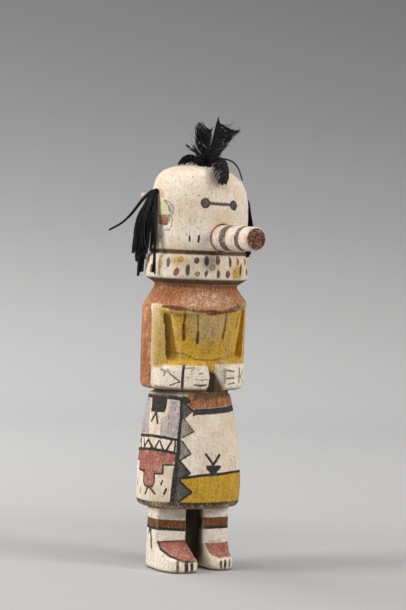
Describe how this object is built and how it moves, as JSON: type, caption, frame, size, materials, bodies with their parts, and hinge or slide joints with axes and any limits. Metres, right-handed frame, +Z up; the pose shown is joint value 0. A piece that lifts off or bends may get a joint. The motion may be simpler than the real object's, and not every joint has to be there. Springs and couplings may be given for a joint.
{
  "type": "kachina doll",
  "caption": "Carved and painted wooden kachina doll with a tubular snout, side hair and a crest of black feathers.",
  "frame": {"origin": "on the flat underside, on the doll's upright axis, between the feet", "axes": "+Z up, the doll faces -Y, its own right side is towards -X"},
  "size_m": [0.0861, 0.0929, 0.2795],
  "materials": {
    "painted_root_wood": "matte mineral paint over a white ground, worn and chipped",
    "bare_wood": "bare, slightly soiled",
    "black_hide": "dyed black, dull with a slight sheen",
    "black_feather": "natural black feather"
  },
  "bodies": {
    "root": {"body": "painted_root_wood", "feather_drooping_front": "black_feather", "feather_drooping_right": "black_feather", "feather_long_quill": "black_feather", "feather_small_right": "black_feather", "feather_upright_left": "black_feather", "feather_upright_right": "black_feather", "hair_left_01": "black_hide", "hair_left_02": "black_hide", "hair_left_03": "black_hide", "hair_left_04": "black_hide", "hair_left_05": "black_hide", "hair_left_06": "black_hide", "hair_left_07": "black_hide", "hair_right_01": "black_hide", "hair_right_02": "black_hide", "hair_right_03": "black_hide", "hair_right_04": "black_hide", "hair_right_05": "black_hide", "hair_right_06": "black_hide", "hair_right_07": "black_hide", "hair_right_08": "black_hide", "hair_right_09": "black_hide", "hair_right_10": "black_hide", "hair_right_11": "black_hide", "hair_right_12": "black_hide", "hair_right_13": "black_hide", "hair_right_14": "black_hide", "hair_right_loose": "black_hide", "side_peg": "bare_wood", "snout": "painted_root_wood"}
  },
  "joints": []
}
